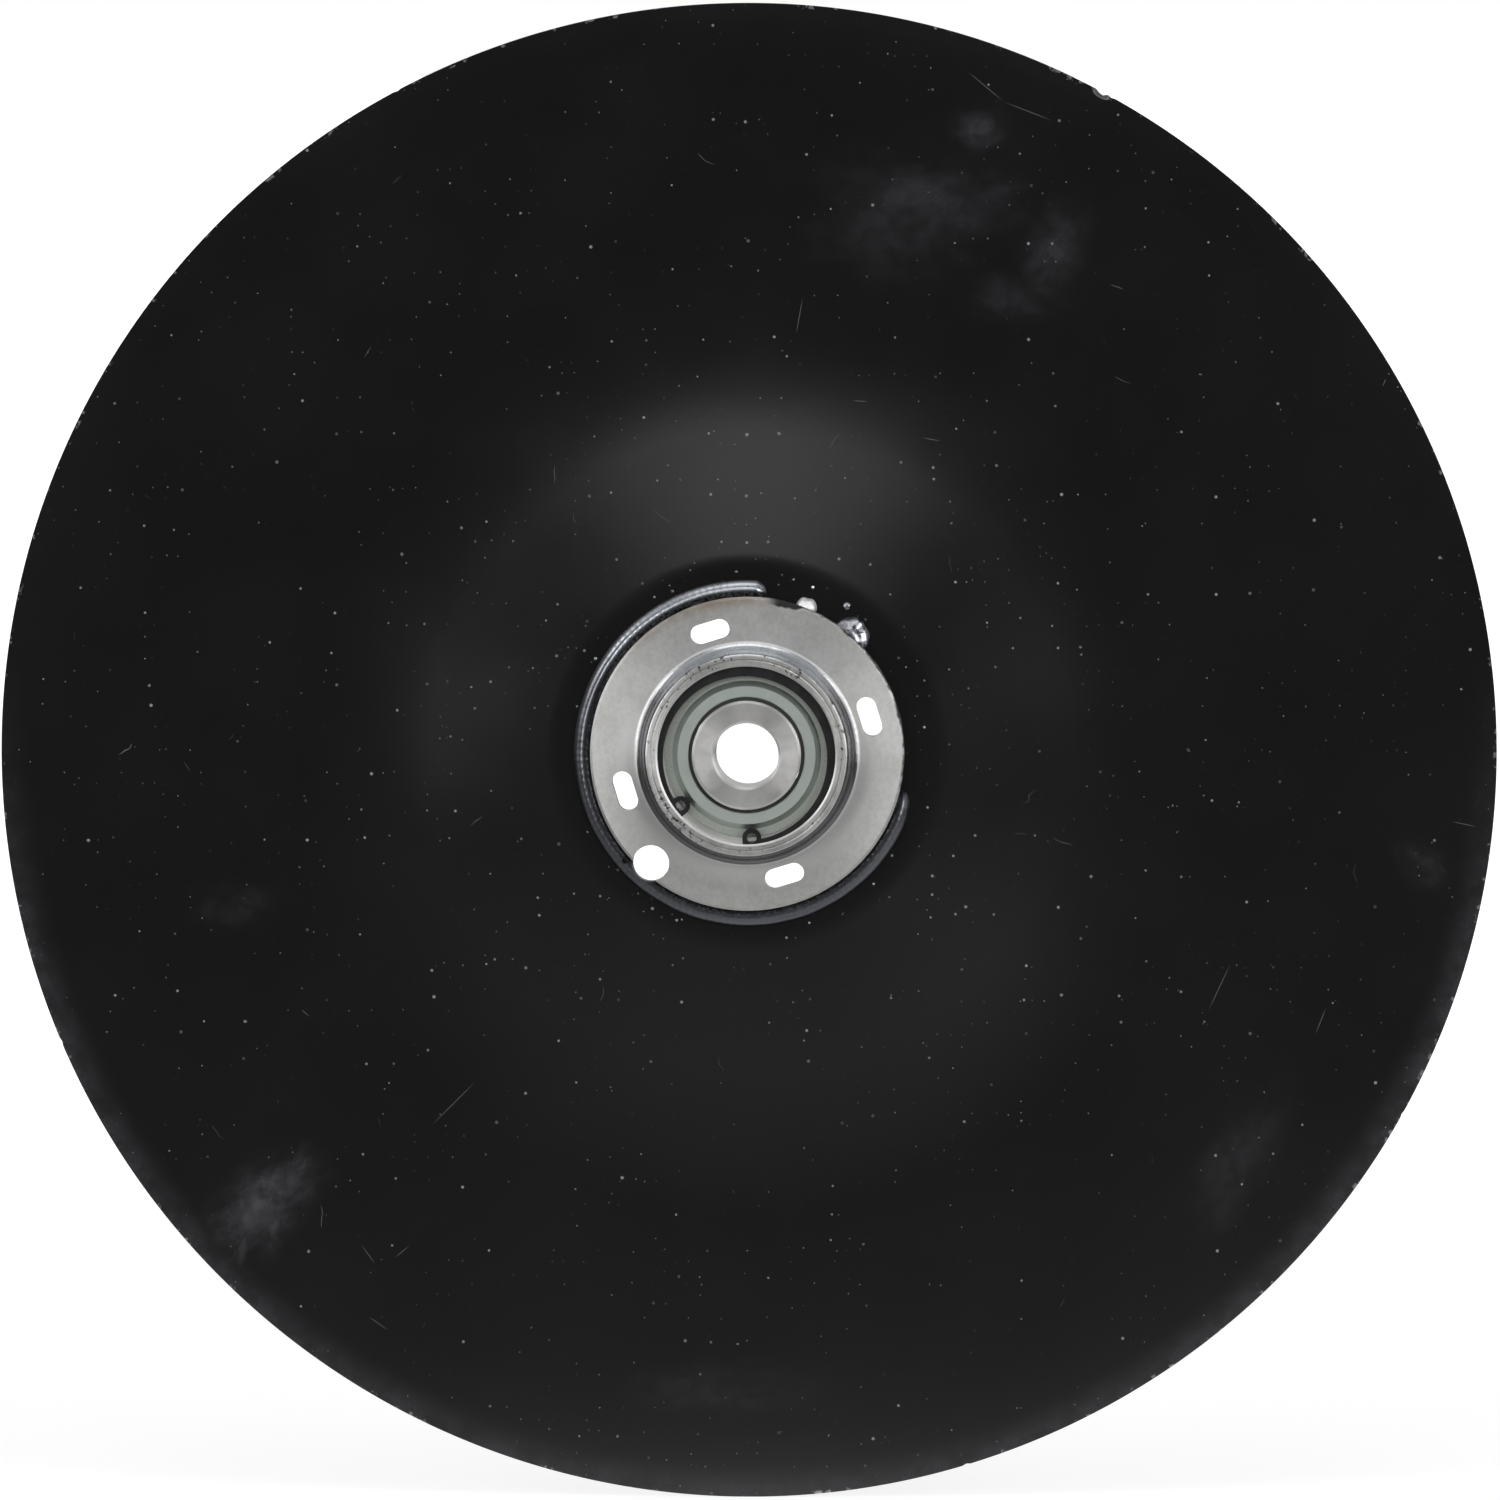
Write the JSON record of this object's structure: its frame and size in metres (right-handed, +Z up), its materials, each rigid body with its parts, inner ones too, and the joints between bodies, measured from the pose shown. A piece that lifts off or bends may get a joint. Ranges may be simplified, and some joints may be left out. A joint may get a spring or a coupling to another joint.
{
  "type": "planter disc opener",
  "caption": "Dished steel opener disc for a seed planter, welded to a bearing hub that turns freely on a sealed ball bearing with a bored inner ring.",
  "frame": {"origin": "centre of the bolt bore, in the plane of the balls", "axes": "+Y along the bore axis towards the back of the disc, where the planter shank is; +Z up; the hub side faces -Y"},
  "size_m": [0.3809, 0.0245, 0.381],
  "materials": {
    "blade_paint": "satin black paint over steel, dusty and lightly scratched",
    "hub_steel": "bare turned steel, satin",
    "weld_steel": "bare weld metal with light oxide",
    "clip_steel": "black phosphated spring steel",
    "ring_steel": "ground bearing steel",
    "ball_steel": "polished bearing steel",
    "cage_steel": "pressed steel sheet",
    "shield_zinc": "zinc plated steel with a faint green passivation",
    "seal_rubber": "moulded black rubber"
  },
  "bodies": {
    "inner_race": {"inner_ring": "ring_steel"},
    "disc": {"disc_blade": "blade_paint", "bearing_hub": "hub_steel", "weld_bead": "weld_steel", "tack_welds": "weld_steel", "circlip": "clip_steel", "outer_ring": "ring_steel", "front_shield": "shield_zinc", "front_seal": "seal_rubber", "rear_shield": "shield_zinc", "rear_seal": "seal_rubber"},
    "cage": {"cage_front": "cage_steel", "cage_rear": "cage_steel", "cage_rivets": "cage_steel"},
    "ball_1": {"ball_1": "ball_steel"},
    "ball_2": {"ball_2": "ball_steel"},
    "ball_3": {"ball_3": "ball_steel"},
    "ball_4": {"ball_4": "ball_steel"},
    "ball_5": {"ball_5": "ball_steel"},
    "ball_6": {"ball_6": "ball_steel"},
    "ball_7": {"ball_7": "ball_steel"},
    "ball_8": {"ball_8": "ball_steel"}
  },
  "joints": [
    {"name": "disc_spin", "type": "hinge", "parent": "inner_race", "child": "disc", "pos_m": [0, 0, 0], "axis": [0, 1, 0], "continuous": true},
    {"name": "cage_turn", "type": "hinge", "parent": "inner_race", "child": "cage", "pos_m": [0, 0, 0], "axis": [0, 1, 0], "continuous": true},
    {"name": "ball_1_spin", "type": "hinge", "parent": "cage", "child": "ball_1", "pos_m": [0.01172, 0, 0.01172], "axis": [0, 1, 0], "continuous": true},
    {"name": "ball_2_spin", "type": "hinge", "parent": "cage", "child": "ball_2", "pos_m": [0, 0, 0.01657], "axis": [0, 1, 0], "continuous": true},
    {"name": "ball_3_spin", "type": "hinge", "parent": "cage", "child": "ball_3", "pos_m": [-0.01172, 0, 0.01172], "axis": [0, 1, 0], "continuous": true},
    {"name": "ball_4_spin", "type": "hinge", "parent": "cage", "child": "ball_4", "pos_m": [-0.01657, 0, 0], "axis": [0, 1, 0], "continuous": true},
    {"name": "ball_5_spin", "type": "hinge", "parent": "cage", "child": "ball_5", "pos_m": [-0.01172, 0, -0.01172], "axis": [0, 1, 0], "continuous": true},
    {"name": "ball_6_spin", "type": "hinge", "parent": "cage", "child": "ball_6", "pos_m": [0, 0, -0.01657], "axis": [0, 1, 0], "continuous": true},
    {"name": "ball_7_spin", "type": "hinge", "parent": "cage", "child": "ball_7", "pos_m": [0.01172, 0, -0.01172], "axis": [0, 1, 0], "continuous": true},
    {"name": "ball_8_spin", "type": "hinge", "parent": "cage", "child": "ball_8", "pos_m": [0.01657, 0, 0], "axis": [0, 1, 0], "continuous": true}
  ],
  "couplings": [
    {"joint": "cage_turn", "follows": "disc_spin", "ratio": 0.61973},
    {"joint": "ball_1_spin", "follows": "disc_spin", "ratio": 1.9683},
    {"joint": "ball_2_spin", "follows": "disc_spin", "ratio": 1.9683},
    {"joint": "ball_3_spin", "follows": "disc_spin", "ratio": 1.9683},
    {"joint": "ball_4_spin", "follows": "disc_spin", "ratio": 1.9683},
    {"joint": "ball_5_spin", "follows": "disc_spin", "ratio": 1.9683},
    {"joint": "ball_6_spin", "follows": "disc_spin", "ratio": 1.9683},
    {"joint": "ball_7_spin", "follows": "disc_spin", "ratio": 1.9683},
    {"joint": "ball_8_spin", "follows": "disc_spin", "ratio": 1.9683}
  ]
}
